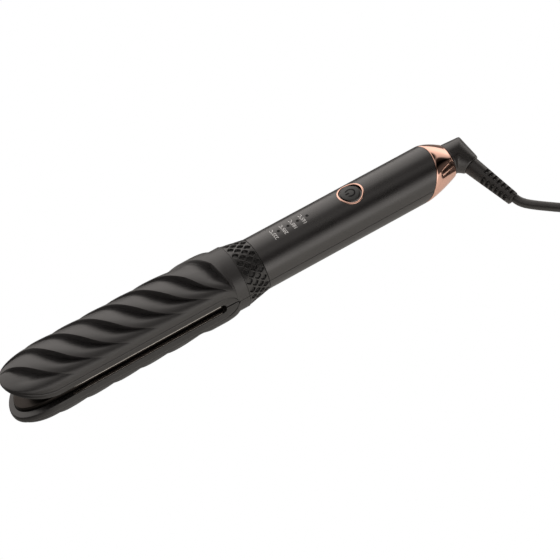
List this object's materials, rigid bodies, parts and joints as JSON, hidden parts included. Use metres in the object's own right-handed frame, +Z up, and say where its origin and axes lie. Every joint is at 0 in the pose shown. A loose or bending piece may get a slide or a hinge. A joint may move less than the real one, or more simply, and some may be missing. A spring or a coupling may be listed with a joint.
{
  "type": "hair styler",
  "caption": "Hair styling iron: hinged barrel arms with diagonal lobes and hot plates, knurled collar, round handle, power button, plated tail ring and swivelling mains cord.",
  "frame": {"origin": "under the middle of the tool's length and width, on the surface it lies on", "axes": "+X along the tool from the barrel tip to the cord end, +Z up, the button on top"},
  "size_m": [0.4216, 0.1156, 0.0384],
  "materials": {
    "cover_black": "soft satin",
    "frame_black": "satin",
    "collar_black": "satin, knurled",
    "handle_black": "soft satin",
    "plate": "smooth ceramic coat",
    "ceramic": "matt ceramic",
    "silicone": "soft",
    "steel": "brushed",
    "board_green": "lacquered",
    "switch_black": "satin",
    "light_guide": "clear",
    "rose_gold": "mirror",
    "bush_white": "smooth",
    "button_grey": "satin",
    "hood_black": "satin",
    "cord_black": "satin",
    "tie_black": "satin",
    "plug_black": "satin",
    "pin_nickel": "polished nickel"
  },
  "bodies": {
    "upper_arm": {"upper_cover": "cover_black", "upper_frame": "frame_black", "upper_hot_plate": "plate", "upper_heater": "ceramic", "upper_plate_pads": "silicone", "upper_collar": "collar_black", "upper_handle": "handle_black", "upper_liner": "frame_black", "upper_screws": "steel", "control_board": "board_green", "push_switch": "switch_black", "indicator_lights": "light_guide", "button_bezel": "rose_gold", "tail_ring": "rose_gold", "hinge_bracket": "steel", "hinge_pin": "steel", "swivel_bush": "bush_white"},
    "power_button": {"power_button": "button_grey"},
    "lower_arm": {"lower_cover": "cover_black", "lower_frame": "frame_black", "lower_hot_plate": "plate", "lower_heater": "ceramic", "lower_plate_pads": "silicone", "lower_collar": "collar_black", "lower_handle": "handle_black", "lower_liner": "frame_black", "lower_screws": "steel", "hinge_arm": "steel"},
    "cord_set": {"swivel_hood": "hood_black", "swivel_clip": "steel", "strain_relief": "cord_black", "cord_lead": "cord_black", "cord_coil": "cord_black", "cord_tie": "tie_black", "cord_tail": "cord_black", "plug_body": "plug_black", "plug_pins": "pin_nickel"}
  },
  "joints": [
    {"name": "arm_hinge", "type": "hinge", "parent": "upper_arm", "child": "lower_arm", "pos_m": [0.12215, 0, 0.0095], "axis": [0, -1, 0], "range_deg": [0, 10]},
    {"name": "button_press", "type": "slide", "parent": "upper_arm", "child": "power_button", "axis": [0, 0, -1], "range_m": [0, 0.0008], "stiffness_N_per_m": 400},
    {"name": "cord_swivel", "type": "hinge", "parent": "upper_arm", "child": "cord_set", "pos_m": [0.13975, 0, 0.019], "axis": [1, 0, 0], "continuous": true}
  ]
}
